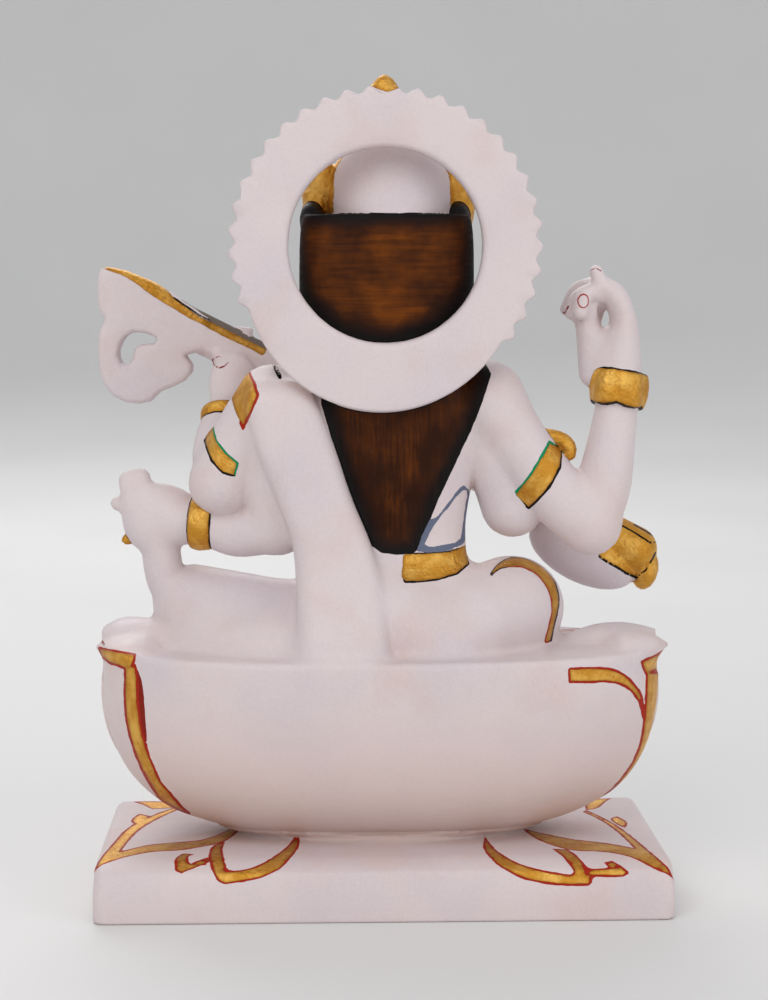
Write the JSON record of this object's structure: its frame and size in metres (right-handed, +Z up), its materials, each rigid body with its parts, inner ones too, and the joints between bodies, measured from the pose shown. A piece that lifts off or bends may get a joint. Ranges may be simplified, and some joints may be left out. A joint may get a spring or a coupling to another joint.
{
  "type": "seated goddess figure with a veena",
  "caption": "Marble figure of a seated, many-armed goddess playing a veena, carved with its lotus seat, head ring and plinth from one block.",
  "frame": {"origin": "centre of the plinth's underside", "axes": "+Z up through the figure, -Y the way the figure faces, +X the figure's own left"},
  "size_m": [0.2215, 0.108, 0.306],
  "materials": {
    "painted_marble": "honed white marble with gold, brown and red paint"
  },
  "bodies": {
    "root": {"saraswati_statue": "painted_marble"}
  },
  "joints": []
}
